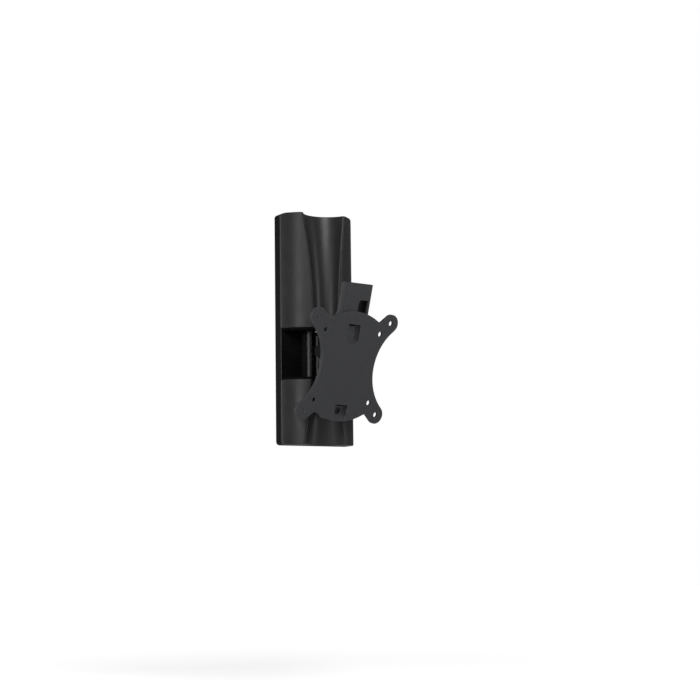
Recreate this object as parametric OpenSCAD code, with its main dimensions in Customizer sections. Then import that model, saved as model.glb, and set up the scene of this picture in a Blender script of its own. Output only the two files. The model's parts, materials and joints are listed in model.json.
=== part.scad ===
// Swivelling and tilting wall mount for a flat monitor, VESA 75 and 100.
// A tall waisted column hangs on the wall. A short arm turns about an upright
// bolt in its middle, and a plate tilts on a cross bolt at the end of the arm.
// Origin: on the wall, on the column's centre line, at the height of the cross
// bolt. +Z is up and the front faces -Y. "Depth" is the distance from the wall.

/* [Column] */
// Width of the column
column_w = 88; // [84:1:100]
// Height of the column
column_h = 250; // [236:1:320]
// Height of the cross bolt above the lower end of the column
bolt_up = 97; // [90:1:120]
// Depth of the black surround that stands on the wall
surround_d = 11; // [10.6:0.2:13]
// Depth of the covers' arch on the centre line
arch_d = 37.2; // [36:0.2:40]
// Radius of the column's corners seen from the front
corner_r = 4; // [2:0.5:8]
// Radius of the covers' long outer edges
edge_r = 2.6; // [2.4:0.1:3]
// Wall thickness of the covers
cover_t = 2.2; // [1.6:0.1:2.3]
// Wall thickness of the surround
surround_t = 2.4; // [2:0.1:3]
// Thickness of the steel wall plate
wall_plate_t = 2.5; // [2:0.1:2.6]

/* [Scooped front] */
// Depth of the upright axis that the scoop is turned about
scoop_axis_d = 41; // [40:0.5:43]
// Radius of the scoop at the middle of the column
scoop_waist_r = 16.2; // [15:0.1:17]
// Radius of the scoop at the ends of the column
scoop_end_r = 27; // [24:0.1:27.2]

/* [Hinge band] */
// Height of the open band between the covers
band_h = 55.4; // [55.2:0.1:60]
// Wall thickness of the glossy shroud
shroud_t = 2; // [1.6:0.1:2.4]
// Outer radius of the shroud's barrel
barrel_r = 17; // [16.8:0.1:18]
// Half the angle of the barrel's front opening
barrel_open = 51; // [50:1:55]

/* [Swivel] */
// Depth of the upright bolt
pin_d = 14; // [13.8:0.1:15]
// Diameter of the upright bolt and of the cross bolt
bolt_dia = 8; // [6:0.5:8.5]
// Turn of the arm to the right, as it stands
swivel_now = 10.5; // [-20:0.5:20]
// Distance from the upright bolt to the cross bolt
arm_reach = 34; // [34:0.5:40]
// Width of the arm's two tabs
tab_w = 15; // [14:0.5:15]
// Half the height over the arm's two tabs
tab_z = 23.5; // [22:0.5:23.5]
// Width over the arm's two cheeks
arm_w = 32; // [30:0.5:32]
// Thickness of the folded steel of the arm and the tilting channel
fold_t = 2.5; // [2:0.1:2.6]
// Thickness of the steel of the fixed hinge bracket
lug_t = 3; // [2.5:0.1:3]

/* [Tilt] */
// Forward tilt of the plate, as it stands
tilt_now = 16; // [-8:1:18]
// Width of the tilting channel
channel_w = 40; // [39:0.5:42]
// Length of the tilting channel
channel_h = 146.8; // [140:0.2:152]
// Height of the channel's middle above the cross bolt
channel_up = 3.9; // [2:0.1:6]
// Depth of the channel's side walls at its ends
channel_lip = 6; // [5:0.2:6.5]

/* [Plate] */
// Distance from the cross bolt to the front of the plate
plate_front = 20; // [20:0.5:24]
// Distance of the plate's centre below the cross bolt
plate_drop = 11.5; // [9:0.5:13]
// Thickness of the plate
plate_t = 3; // [2.5:0.1:3]
// Spacing of the outer screw holes
vesa_outer = 100; // [100]
// Spacing of the inner screw holes
vesa_inner = 75; // [75]
// Diameter of the screw holes
vesa_hole = 5.8; // [5:0.1:6]
// Radius of the four ears
ear_r = 9.7; // [9:0.1:11]
// Width of the plate's waist
waist_w = 72; // [68:1:78]
// Height over the plate's top and bottom edges
plate_h = 118; // [114:1:122]
// Width of the two pressed pockets
pocket_w = 17; // [15:0.5:18]
// Depth of the two pressed pockets
pocket_d = 4; // [3.5:0.1:4.2]

/* [Wall screws] */
// Sideways spacing of the wall screw holes
wall_dx = 50; // [40:1:54]
// Upright spacing of the wall screw holes
wall_dz = 200; // [180:1:206]
// Diameter of the wall screw holes
wall_hole = 7; // [5:0.5:8]

/* [Hidden] */
$fn = 96;

// Clearances: a part that only has to pass, a part that seats, a turning fit
pass_gap = 0.5;
seat_gap = 0.2;
run_gap = 0.05;
// A length that reaches past whatever a cut goes through
far = 400;

// Column
col_bottom = -bolt_up;
col_top = column_h - bolt_up;
col_mid = (col_top + col_bottom) / 2;
cover_back = surround_d + seat_gap;
plate_w = column_w - 2 * surround_t - 2 * pass_gap;
plate_len = column_h - 2 * surround_t - 2 * pass_gap;

// Arch of the covers: a circle through the side edge and the crown
arch_edge_d = surround_d + edge_r - 0.6;
arch_rise = arch_d - arch_edge_d;
arch_r = (pow(column_w / 2, 2) + pow(arch_rise, 2)) / (2 * arch_rise);
arch_centre_d = arch_d - arch_r;

// Surround: the ledge that rests on the wall plate, and its screws
screw_from_end = 32;
ledge_w = 7.2;
ledge_t = 2.4;
ledge_d = wall_plate_t + seat_gap;
ledge_front = ledge_d + ledge_t;
ledge_x = column_w / 2 - surround_t - ledge_w / 2;
surround_screw_z = column_h / 2 - screw_from_end;
screw_dia = 4;
screw_head_dia = 7.6;
screw_head_t = 2.4;

// Shroud: screw posts stand on the ledge just above and below the band
post_r = 3.4;
post_z = band_h / 2 + 7;
post_x = ledge_x - 2;
shelf_outer = band_h / 2 - 0.4;
barrel_in = barrel_r - shroud_t;
wing_front = cover_back + shroud_t;

// Hinge stack, counted outwards from the cross bolt's height
bush_flange = 1;
lug_in = tab_z + bush_flange;
lug_out = lug_in + lug_t;
lug_r = 8;
bracket_front = wall_plate_t + lug_t;
bracket_w = 40;
bracket_h = 2 * lug_in - 5;
rivet_x = bracket_w / 2 - 6;
rivet_z = 13;
rivet_dia = 5;
washer_t = 1.5;
washer_r = bolt_dia;
low_head_r = 0.7 * bolt_dia;
low_head_t = 3;
head_t = 5.3;
spring_t = 1.1;
spring_count = 3;
nut_t = 8;
hex_flats = 1.625 * bolt_dia;
bore_dia = bolt_dia + 2 * run_gap;
bush_dia = bolt_dia + 2;
sleeve_dia = bolt_dia + 3;

// Arm
web_back = barrel_r + 3.5;
web_front = web_back + fold_t;
cheek_in = arm_w / 2 - fold_t;
cheek_r = 9;
cheek_z = tab_z - 4;
fold_r = 3.4;

// Tilting channel, measured from the cross bolt
channel_front = plate_front - plate_t;
channel_back = channel_front - fold_t;
channel_low = channel_up - channel_h / 2;
channel_top = channel_up + channel_h / 2;
channel_in = channel_w / 2 - fold_t;
hump_r = 10;
lip_d = channel_front - channel_lip;

// Pressed pockets, seen from the plate's centre: the upper hooks, the lower is locked
pocket_t = 2;
pocket_ramp = 5;
slit_h = 2.4;
upper_pocket_h = 22.6;
lower_pocket_h = 17;
pocket_from_top = 13.7;
pocket_high = plate_h / 2 - pocket_from_top;
pocket_low = pocket_high - upper_pocket_h;
lower_pocket_low = -plate_h / 2 + 1;
lower_pocket_high = lower_pocket_low + lower_pocket_h;
pocket_back = plate_front - pocket_d - pocket_t;

// Hook window and locking tongue of the channel, seen from the cross bolt
hook_top = pocket_high - plate_drop;
lock_top = lower_pocket_high - plate_drop;
lock_z = lock_top - lower_pocket_h / 2 + 0.9;
window_w = pocket_w + 2 * pocket_t + 2;
insert_t = 1.2;
insert_low = 18;
tongue_front = pocket_back;
tongue_back = tongue_front - fold_t;
tongue_w = pocket_w + 2 * pocket_t;
tongue_gap = 1.5;
joggle = pocket_t + 3.4;
slot_x0 = 4.8;
slot_x1 = 15.6;
slot_cut = 2;
slot_h = 26;
slot_top = hook_top + slot_h;
lock_dia = 4;
lock_head_dia = 7.6;

// Places one after the other down the chain: upright bolt, arm, cross bolt
module at_pin() translate([0, -pin_d, 0]) rotate([0, 0, swivel_now]) children();
module at_tilt() at_pin() translate([0, -arm_reach, 0]) rotate([tilt_now, 0, 0]) children();

// A front view outline, made solid between two depths
module forward(from, to) translate([0, -from, 0]) rotate([90, 0, 0])
    linear_extrude(height = to - from) children();

// A side view outline (depth, height), made solid and centred on X
module across(w) rotate([90, 0, -90]) linear_extrude(height = w, center = true) children();

// A plan view outline, made solid over the same height up and down
module upright(half_h) linear_extrude(height = 2 * half_h, center = true) children();

// A rod along X
module cross_rod(r, from, to) translate([from, 0, 0]) rotate([0, 90, 0])
    cylinder(r = r, h = to - from);

module round_rect(w, h, r) {
    square([w - 2 * r, h], center = true);
    square([w, h - 2 * r], center = true);
    for (sx = [-1, 1], sy = [-1, 1])
        translate([sx * (w / 2 - r), sy * (h / 2 - r)]) circle(r = r);
}

// A rectangle given by its corners
module span(x0, y0, x1, y1) translate([x0, y0]) square([x1 - x0, y1 - y0]);

module both_sides() {
    children();
    mirror([1, 0, 0]) children();
}

module top_and_bottom() {
    children();
    mirror([0, 0, 1]) children();
}

module hexagon(flats) circle(r = flats / 2 / cos(30), $fn = 6);

module ring(outer_dia, inner_dia, h) difference() {
    cylinder(d = outer_dia, h = h);
    translate([0, 0, -1]) cylinder(d = inner_dia, h = h + 2);
}

// Column section in plan: straight sides, rounded long edges and the arch
module arch_section(inset) {
    r = arch_r - inset;
    e = edge_r - inset;
    half = column_w / 2 - inset;
    ex = half - e;
    ed = sqrt(pow(r - e, 2) - pow(ex, 2));
    touch_x = ex * r / (r - e);
    intersection() {
        translate([0, -arch_centre_d]) circle(r = r, $fn = 180);
        span(-touch_x, -far, touch_x, -cover_back);
    }
    intersection() {
        for (s = [-1, 1]) translate([s * ex, -arch_centre_d - ed]) circle(r = e, $fn = 48);
        span(-half, -far, half, -cover_back);
    }
    span(-half, -arch_centre_d - ed, half, -cover_back);
}

// The turned scoop that gives the column its waist
function scoop_r(z) = scoop_waist_r
    + (scoop_end_r - scoop_waist_r) * pow((z - col_mid) / (column_h / 2), 2);
module scoop(grow) {
    steps = 20;
    reach = column_h / 2 + 2;
    heights = [for (i = [0:steps]) col_mid - reach + 2 * reach * i / steps];
    translate([0, -scoop_axis_d, 0]) rotate_extrude($fn = 120)
        polygon(concat([[0, col_mid + reach], [0, col_mid - reach]],
            [for (z = heights) [scoop_r(z) + grow, z]]));
}

// Everything between two heights that the covers' outside surface bounds
module cover_body(z0, z1, inset) difference() {
    intersection() {
        translate([0, 0, z0]) linear_extrude(height = z1 - z0) arch_section(inset);
        forward(0, far) translate([0, col_mid])
            round_rect(column_w - 2 * inset, column_h - 2 * inset, corner_r - inset);
    }
    scoop(inset);
}

// Hooks of the covers, which snap into blind slots inside the surround's rim
hook_w = 12;
hook_t = 1.6;
hook_barb = 0.9;
hook_from_band = 24;
hook_from_end = 19;
hook_tip = ledge_front + 0.3;
catch_d = hook_tip + 3;
module cover_hook(z) both_sides() {
    x = column_w / 2 - surround_t - seat_gap;
    root_x = column_w / 2 - cover_t / 2;
    translate([0, 0, z - hook_w / 2]) linear_extrude(height = hook_w)
        polygon([[x - hook_t, -cover_back - hook_t], [x - hook_t, -hook_tip],
            [x - hook_t / 2, -hook_tip], [x + hook_barb, -catch_d + hook_barb],
            [x + hook_barb, -catch_d], [x, -catch_d], [x, -cover_back],
            [root_x, -cover_back], [root_x, -cover_back - hook_t]]);
}

function hook_z(side) = side > 0
    ? [band_h / 2 + hook_from_band, col_top - hook_from_end]
    : [-band_h / 2 - hook_from_band, col_bottom + hook_from_end];

module cover(z0, z1, open_z0, open_z1, side) color([0.24, 0.24, 0.25]) {
    difference() {
        cover_body(z0, z1, 0);
        cover_body(open_z0, open_z1, cover_t);
        translate([0, 0, (open_z0 + open_z1) / 2]) cube([column_w - 2 * cover_t,
            2 * cover_back + 0.02, open_z1 - open_z0], center = true);
    }
    for (z = hook_z(side)) cover_hook(z);
}

module upper_cover() cover(band_h / 2, col_top, band_h / 2 - 1, col_top - cover_t, 1);
module lower_cover() cover(col_bottom, -band_h / 2, col_bottom + cover_t, -band_h / 2 + 1, -1);

// Steel plate against the wall
module wall_plate() color([0.62, 0.63, 0.65]) difference() {
    forward(0, wall_plate_t) translate([0, col_mid]) round_rect(plate_w, plate_len, 3);
    for (sx = [-1, 1], sz = [-1, 1]) {
        translate([sx * wall_dx / 2, 1, col_mid + sz * wall_dz / 2]) rotate([90, 0, 0])
            cylinder(d = wall_hole, h = wall_plate_t + 2);
        translate([sx * ledge_x, 1, col_mid + sz * surround_screw_z]) rotate([90, 0, 0])
            cylinder(d = screw_dia + 2 * run_gap, h = wall_plate_t + 2);
        translate([sx * rivet_x, 1, sz * rivet_z]) rotate([90, 0, 0])
            cylinder(d = rivet_dia + 2 * run_gap, h = wall_plate_t + 2);
    }
}

// Black moulded surround: a rim, a ledge on the wall plate and the shroud's posts
module surround() color([0.07, 0.07, 0.08]) difference() {
    union() {
        difference() {
            forward(0, surround_d) translate([0, col_mid])
                round_rect(column_w, column_h, corner_r);
            forward(-1, far) translate([0, col_mid]) round_rect(column_w - 2 * surround_t,
                column_h - 2 * surround_t, corner_r - surround_t / 2);
        }
        difference() {
            forward(ledge_d, ledge_front) translate([0, col_mid])
                round_rect(column_w - surround_t, column_h - surround_t, corner_r / 2);
            forward(0, far) translate([0, col_mid]) round_rect(column_w - 2 * surround_t
                - 2 * ledge_w, column_h - 2 * surround_t - 2 * ledge_w, corner_r);
        }
        for (sx = [-1, 1], sz = [-1, 1]) translate([sx * post_x, -ledge_d, sz * post_z])
            rotate([90, 0, 0]) cylinder(r = post_r, h = surround_d - ledge_d);
    }
    for (sx = [-1, 1], sz = [-1, 1]) {
        translate([sx * ledge_x, 0, col_mid + sz * surround_screw_z]) rotate([90, 0, 0])
            cylinder(d = screw_dia + 2 * seat_gap, h = far);
        translate([sx * post_x, -ledge_front, sz * post_z]) rotate([90, 0, 0])
            cylinder(d = screw_dia - 1 + 2 * run_gap, h = far);
    }
    for (side = [-1, 1], z = hook_z(side)) both_sides()
        translate([column_w / 2 - surround_t - 1, -catch_d - pass_gap, z - hook_w / 2 - pass_gap])
            cube([1 + hook_barb + seat_gap, catch_d + pass_gap - ledge_front - seat_gap,
                hook_w + 2 * pass_gap]);
}

// A pan head screw along the depth, its head seated at the given depth
module pan_screw(dia, head_dia, head_h, seat, shank) translate([0, -seat, 0]) {
    rotate([90, 0, 0]) difference() {
        cylinder(d1 = head_dia, d2 = head_dia - 1.4, h = head_h);
        translate([0, 0, head_h - 1.1]) for (a = [0, 90]) rotate(a)
            translate([-head_dia * 0.3, -0.5, 0]) cube([head_dia * 0.6, 1, 2]);
    }
    rotate([-90, 0, 0]) cylinder(d = dia, h = shank);
}

module surround_screws() color([0.7, 0.7, 0.72]) for (sx = [-1, 1], sz = [-1, 1])
    translate([sx * ledge_x, 0, col_mid + sz * surround_screw_z])
        pan_screw(screw_dia, screw_head_dia - 0.8, screw_head_t, ledge_front, ledge_front - 0.3);

module shroud_screws() color([0.7, 0.7, 0.72]) for (sx = [-1, 1], sz = [-1, 1])
    translate([sx * post_x, 0, sz * post_z])
        pan_screw(screw_dia - 1, screw_head_dia - 1.6, screw_head_t, wing_front,
            wing_front - ledge_front - 0.6);

// Folded bracket with the two fixed lugs of the swivel
module hinge_bracket() color([0.62, 0.63, 0.65]) difference() {
    union() {
        forward(wall_plate_t, bracket_front) round_rect(bracket_w, bracket_h, 4);
        intersection() {
            across(2 * lug_r) difference() {
                translate([far / 2 + wall_plate_t, 0]) round_rect(far, 2 * lug_out, 3.6);
                translate([far / 2 + bracket_front, 0]) round_rect(far, 2 * lug_in, 0.6);
            }
            upright(lug_out + 1) {
                translate([0, -pin_d]) circle(r = lug_r);
                span(-lug_r, -pin_d, lug_r, 0);
            }
        }
    }
    translate([0, -pin_d, -lug_out - 1]) cylinder(d = bore_dia, h = 2 * lug_out + 2);
    for (sx = [-1, 1], sz = [-1, 1]) translate([sx * rivet_x, 0, sz * rivet_z])
        rotate([90, 0, 0]) cylinder(d = rivet_dia + 2 * run_gap, h = far);
}

module hinge_rivets() color([0.72, 0.72, 0.74]) for (sx = [-1, 1], sz = [-1, 1])
    translate([sx * rivet_x, -bracket_front, sz * rivet_z]) {
        rotate([-90, 0, 0]) cylinder(d = rivet_dia, h = bracket_front - 0.2);
        rotate([90, 0, 0]) cylinder(d1 = 1.8 * rivet_dia, d2 = 1.2 * rivet_dia, h = 1.6);
    }

// Glossy shroud of the band: flat wings, a split barrel and two shelves
module hinge_shroud() color([0.03, 0.03, 0.03]) {
    upright(shelf_outer) difference() {
        union() {
            span(-column_w / 2 + 0.6, -wing_front, column_w / 2 - 0.6, -cover_back);
            span(-column_w / 2, -wing_front + 0.6, column_w / 2, -cover_back);
            intersection() {
                translate([0, -pin_d]) circle(r = barrel_r);
                span(-barrel_r, -far, barrel_r, -cover_back);
            }
            for (s = [-1, 1]) translate([s * (column_w / 2 - 0.6), -wing_front + 0.6])
                circle(r = 0.6, $fn = 24);
        }
        translate([0, -pin_d]) circle(r = barrel_in);
        span(-barrel_in, -pin_d, barrel_in, 0);
        translate([0, -pin_d]) polygon([[0, 0],
            [-far * sin(barrel_open), -far * cos(barrel_open)],
            [far * sin(barrel_open), -far * cos(barrel_open)]]);
    }
    top_and_bottom() difference() {
        translate([0, 0, shelf_outer - shroud_t]) linear_extrude(height = shroud_t)
            arch_section(1);
        scoop(1);
        translate([0, -pin_d, 0]) cylinder(r = lug_r + 0.8, h = far);
        translate([-lug_r - 0.8, -pin_d, 0]) cube([2 * lug_r + 1.6, far, far]);
    }
    forward(cover_back, wing_front) difference() {
        for (sx = [-1, 1], sz = [-1, 1]) translate([sx * post_x, sz * (post_z - 4)])
            round_rect(2 * post_r + 1, 2 * post_r + 9, 2);
        for (sx = [-1, 1], sz = [-1, 1]) translate([sx * post_x, sz * post_z])
            circle(d = screw_dia - 1 + 2 * seat_gap);
    }
}

// Upright bolt with a low round head below, and what clamps it above
stack_z = lug_out + spring_count * spring_t;
module swivel_bolt() color([0.72, 0.72, 0.74]) translate([0, -pin_d, 0]) {
    translate([0, 0, -lug_out - low_head_t]) cylinder(r = low_head_r, h = low_head_t);
    translate([0, 0, -lug_out - 0.1])
        cylinder(d = bolt_dia, h = lug_out + 0.1 + stack_z + washer_t + nut_t + 2);
}

module swivel_washer() color([0.72, 0.72, 0.74]) translate([0, -pin_d, stack_z])
    ring(2 * washer_r - 1, bore_dia, washer_t);

// Disc springs, turned back to back
module disc_spring(i) {
    flip = i % 2;
    edge = spring_t * 0.35;
    inner = bore_dia / 2;
    outer = washer_r - 0.5;
    low_in = flip == 0 ? edge : 0;
    low_out = flip == 0 ? 0 : edge;
    rotate_extrude() polygon([[inner, low_in], [outer, low_out],
        [outer, low_out + spring_t - edge], [inner, low_in + spring_t - edge]]);
}

module swivel_springs() color([0.55, 0.55, 0.57]) for (i = [0:spring_count - 1])
    translate([0, -pin_d, lug_out + i * spring_t]) disc_spring(i);

module lock_nut_shape(flats, h, bore) difference() {
    union() {
        linear_extrude(height = h * 0.75) hexagon(flats);
        cylinder(d = flats * 0.86, h = h);
    }
    translate([0, 0, -1]) cylinder(d = bore, h = h + 2);
}

module swivel_nut() color([0.72, 0.72, 0.74]) translate([0, -pin_d, stack_z + washer_t])
    lock_nut_shape(hex_flats, nut_t, bore_dia);

// Folded swivel arm: two tabs back to the upright bolt, two cheeks out to the cross bolt
module swivel_arm() color([0.16, 0.16, 0.17]) at_pin() difference() {
    cheek_slope = atan2(cheek_z, web_front - arm_reach)
        - acos(cheek_r / norm([arm_reach - web_front, cheek_z]));
    union() {
        intersection() {
            across(tab_w) difference() {
                translate([web_front - far / 2, 0]) round_rect(far, 2 * tab_z, fold_r);
                translate([web_back - far / 2, 0])
                    round_rect(far, 2 * (tab_z - fold_t), fold_r - fold_t);
            }
            upright(far) {
                circle(d = tab_w);
                span(-tab_w / 2, -far, tab_w / 2, 0);
            }
        }
        intersection() {
            upright(far) difference() {
                translate([0, -web_back - far / 2]) round_rect(arm_w, far, fold_r);
                translate([0, -web_front - far / 2])
                    round_rect(2 * cheek_in, far, fold_r - fold_t);
            }
            across(far) {
                polygon([[web_back, -cheek_z], [web_front, -cheek_z],
                    [arm_reach + cheek_r * cos(cheek_slope), -cheek_r * sin(cheek_slope)],
                    [arm_reach, 0],
                    [arm_reach + cheek_r * cos(cheek_slope), cheek_r * sin(cheek_slope)],
                    [web_front, cheek_z], [web_back, cheek_z]]);
                translate([arm_reach, 0]) circle(r = cheek_r);
            }
        }
    }
    translate([0, 0, -far]) cylinder(d = bush_dia + 2 * run_gap, h = 2 * far);
    translate([0, -arm_reach, 0]) cross_rod(bore_dia / 2, -far, far);
}

// Flanged plastic bushes between the arm's tabs and the fixed lugs
module swivel_bushes() color([0.12, 0.12, 0.12]) top_and_bottom()
    at_pin() translate([0, 0, tab_z]) difference() {
        union() {
            cylinder(d = 2 * lug_r - 1, h = bush_flange - run_gap);
            translate([0, 0, -fold_t]) cylinder(d = bush_dia, h = fold_t + 0.5);
        }
        translate([0, 0, -far / 2]) cylinder(d = bore_dia, h = far);
    }

module swivel_sleeve() color([0.35, 0.35, 0.36]) at_pin()
    translate([0, 0, -tab_z + fold_t]) ring(sleeve_dia, bore_dia, 2 * (tab_z - fold_t));

// Cross bolt and what clamps it
tilt_out = channel_w / 2 + run_gap;
module tilt_bolt() color([0.72, 0.72, 0.74]) at_pin() translate([0, -arm_reach, 0]) {
    nut_end = tilt_out + spring_count * spring_t + nut_t + 2;
    translate([-tilt_out - washer_t - head_t, 0, 0]) rotate([0, 90, 0])
        linear_extrude(height = head_t) hexagon(hex_flats);
    cross_rod(bolt_dia / 2, -tilt_out - washer_t, nut_end);
}

module tilt_washer() color([0.72, 0.72, 0.74]) at_pin()
    translate([-tilt_out - washer_t, -arm_reach, 0]) rotate([0, 90, 0])
        ring(2 * washer_r, bore_dia, washer_t);

module tilt_springs() color([0.55, 0.55, 0.57]) at_pin() translate([tilt_out, -arm_reach, 0])
    rotate([0, 90, 0]) for (i = [0:spring_count - 1])
        translate([0, 0, i * spring_t]) disc_spring(i);

module tilt_nut() color([0.72, 0.72, 0.74]) at_pin()
    translate([tilt_out + spring_count * spring_t, -arm_reach, 0]) rotate([0, 90, 0])
        lock_nut_shape(hex_flats, nut_t, bore_dia);

module tilt_sleeve() color([0.35, 0.35, 0.36]) at_pin()
    translate([-cheek_in, -arm_reach, 0]) rotate([0, 90, 0])
        ring(sleeve_dia, bore_dia, 2 * cheek_in);

// Side outline of the channel: shallow ends and a round hump at the cross bolt
module channel_side() {
    slope_z = 45;
    d = norm([lip_d, slope_z]);
    a = atan2(slope_z, lip_d) + acos(hump_r / d);
    difference() {
        union() {
            translate([(channel_front + lip_d) / 2, channel_up])
                round_rect(channel_lip, channel_h, 1.6);
            for (s = [-1, 1]) polygon([[channel_front - 0.5, s * slope_z], [lip_d, s * slope_z],
                [hump_r * cos(a), s * hump_r * sin(a)], [0, 0], [channel_front - 0.5, 0]]);
            circle(r = hump_r);
        }
    }
}

// Front outline of a pressed pocket: square at the top, round at the bottom
module pocket_outline(grow, low, high) {
    r = pocket_w / 2 + grow;
    translate([0, low + pocket_w / 2]) circle(r = r);
    span(-r, low + pocket_w / 2, r, high + grow);
}

module tilt_channel() color([0.27, 0.28, 0.3]) at_tilt() difference() {
    union() {
        difference() {
            intersection() {
                upright(far) difference() {
                    translate([0, -channel_front + far / 2]) round_rect(channel_w, far, fold_r);
                    translate([0, -channel_back + far / 2])
                        round_rect(2 * channel_in, far, fold_r - fold_t);
                }
                across(far) channel_side();
                forward(-far, far) translate([0, channel_up])
                    round_rect(channel_w, channel_h, 2.2);
            }
            // Notch that frees the tongue
            forward(lip_d, far) span(-tongue_w / 2 - tongue_gap, channel_low - 1,
                tongue_w / 2 + tongue_gap, lock_top + joggle);
        }
        // Tongue set back behind the lower pocket, for the lock screw
        across(tongue_w) polygon([[channel_back, lock_top + joggle + fold_t],
            [channel_front, lock_top + joggle + fold_t], [channel_front, lock_top + joggle],
            [tongue_front, lock_top + pocket_t], [tongue_front, channel_low + 1],
            [tongue_back, channel_low + 1], [tongue_back, lock_top + pocket_t + 0.8],
            [channel_back, lock_top + joggle + 0.8]]);
    }
    cross_rod(bush_dia / 2 + run_gap, -far, far);
    // Stepped window: the plate's hook goes in at the upper right and drops to the centre
    forward(channel_back - 1, far) {
        span(-window_w / 2, pocket_low - plate_drop, window_w / 2, hook_top + pocket_t + 1);
        polygon([[slot_x0 - slot_cut, hook_top], [slot_x1, hook_top], [slot_x1, slot_top],
            [slot_x0, slot_top], [slot_x0 - slot_cut, slot_top - 5]]);
    }
    translate([0, 0, lock_z]) rotate([90, 0, 0]) cylinder(d = lock_dia + 2 * run_gap, h = far);
}

// Black tray that closes the channel's back above the arm
module channel_insert() color([0.07, 0.07, 0.08]) at_tilt() {
    half = channel_in - seat_gap;
    top = channel_top - 2;
    forward(lip_d, lip_d + insert_t) span(-half, insert_low, half, top);
    forward(lip_d, pocket_back - seat_gap) difference() {
        span(-half, insert_low, half, top);
        span(-half + insert_t, insert_low + insert_t, half - insert_t, top - insert_t);
    }
}

module tilt_bushes() color([0.12, 0.12, 0.12]) at_tilt() both_sides() rotate([0, 90, 0])
    translate([0, 0, channel_in]) difference() {
        union() {
            translate([0, 0, arm_w / 2 - channel_in + run_gap])
                cylinder(d = 2 * hump_r - 3, h = channel_in - arm_w / 2 - run_gap);
            cylinder(d = bush_dia, h = fold_t);
        }
        translate([0, 0, -far / 2]) cylinder(d = bore_dia, h = far);
    }

// Front outline of the plate: four ears, hollow sides and bowed top and bottom edges
notch_x = 34.4;
notch_z = 49.2;
notch_r = 4;
module plate_quarter() {
    h = vesa_outer / 2;
    w = waist_w / 2;
    // Side hollow: through the waist and just clear of both ears
    gap = h - w;
    clear_r = ear_r + 0.15;
    hollow_r = (gap * gap + h * h - clear_r * clear_r) / (2 * (gap + clear_r));
    to_hollow = atan2(-h, w + hollow_r - h);
    inner_r = ear_r - 0.3;
    low_touch = [h + inner_r * cos(to_hollow), h + inner_r * sin(to_hollow)];
    // Straight flank from the notch into the ear
    flank_r = ear_r - 0.1;
    reach = norm([h - notch_x, h - notch_z]);
    flank = atan2(h - notch_z, h - notch_x) + asin(flank_r / reach);
    flank_len = sqrt(reach * reach - flank_r * flank_r);
    top_touch = [notch_x + flank_len * cos(flank), notch_z + flank_len * sin(flank)];
    // Bowed edge through the notch and the top of the plate
    bow = plate_h / 2 - notch_z;
    bow_r = (notch_x * notch_x + bow * bow) / (2 * bow);
    bow_dir = 180 - asin(notch_x / bow_r);
    // Small round in the notch
    half_notch = (bow_dir - flank) / 2;
    fill = notch_r / tan(half_notch);
    mid_dir = (bow_dir + flank) / 2;
    out = notch_r / sin(half_notch);
    difference() {
        union() {
            translate([h, h]) circle(r = ear_r);
            polygon([[-1, -1], [-1, notch_z], [notch_x, notch_z], top_touch, [h, h], low_touch,
                [w, -1]]);
            intersection() {
                span(-1, 0, notch_x, plate_h);
                translate([0, plate_h / 2 - bow_r]) circle(r = bow_r, $fn = 360);
            }
            polygon([[notch_x - 1, notch_z - 3],
                [notch_x + fill * cos(flank), notch_z + fill * sin(flank)],
                [notch_x + fill * cos(bow_dir), notch_z + fill * sin(bow_dir)]]);
        }
        translate([w + hollow_r, 0]) circle(r = hollow_r, $fn = 180);
        translate([notch_x + out * cos(mid_dir), notch_z + out * sin(mid_dir)])
            circle(r = notch_r + 0.05, $fn = 48);
    }
}

module plate_outline() for (sx = [0, 1], sz = [0, 1])
    mirror([sx, 0]) mirror([0, sz]) plate_quarter();

// Side outline of a pocket: sheared square at the top, a ramp at the bottom
module pocket_side(from, to, low, high, ramp) polygon([[from, high + 5], [from, low + ramp],
    [to, low], [to, high + 5]]);

module pocket_shell(low, high) intersection() {
    forward(pocket_back, plate_front) pocket_outline(pocket_t, low, high);
    across(far) pocket_side(pocket_back, plate_front, low, high, pocket_ramp);
}

module pocket_cut(low, high) {
    floor_d = plate_front - pocket_d;
    intersection() {
        forward(floor_d, plate_front + 1) pocket_outline(0, low, high);
        across(far) pocket_side(floor_d, plate_front + 1, low, high, pocket_ramp + pocket_t / 2);
    }
    // Sheared slit along the top, bowed below
    slit_half = pocket_w / 2 - 0.5;
    slit_r = (slit_half * slit_half + slit_h * slit_h) / (2 * slit_h);
    forward(0, plate_front + 1) intersection() {
        span(-pocket_w, high - slit_h - 1, pocket_w, high);
        translate([0, high - slit_h + slit_r]) circle(r = slit_r, $fn = 180);
    }
}

module vesa_plate() color([0.27, 0.28, 0.3]) at_tilt() translate([0, 0, -plate_drop])
    difference() {
        union() {
            forward(plate_front - plate_t, plate_front) plate_outline();
            pocket_shell(pocket_low, pocket_high);
            pocket_shell(lower_pocket_low, lower_pocket_high);
        }
        pocket_cut(pocket_low, pocket_high);
        pocket_cut(lower_pocket_low, lower_pocket_high);
        forward(0, far) for (s = [vesa_outer, vesa_inner], sx = [-1, 1], sz = [-1, 1])
            translate([sx * s / 2, sz * s / 2]) circle(d = vesa_hole);
        translate([0, 0, lock_z + plate_drop]) rotate([90, 0, 0]) {
            cylinder(d = lock_dia + 2 * seat_gap, h = far);
            translate([0, 0, pocket_back + 0.2])
                cylinder(d1 = lock_dia + 2 * seat_gap, d2 = lock_head_dia + 1.2, h = pocket_t);
        }
    }

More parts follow.
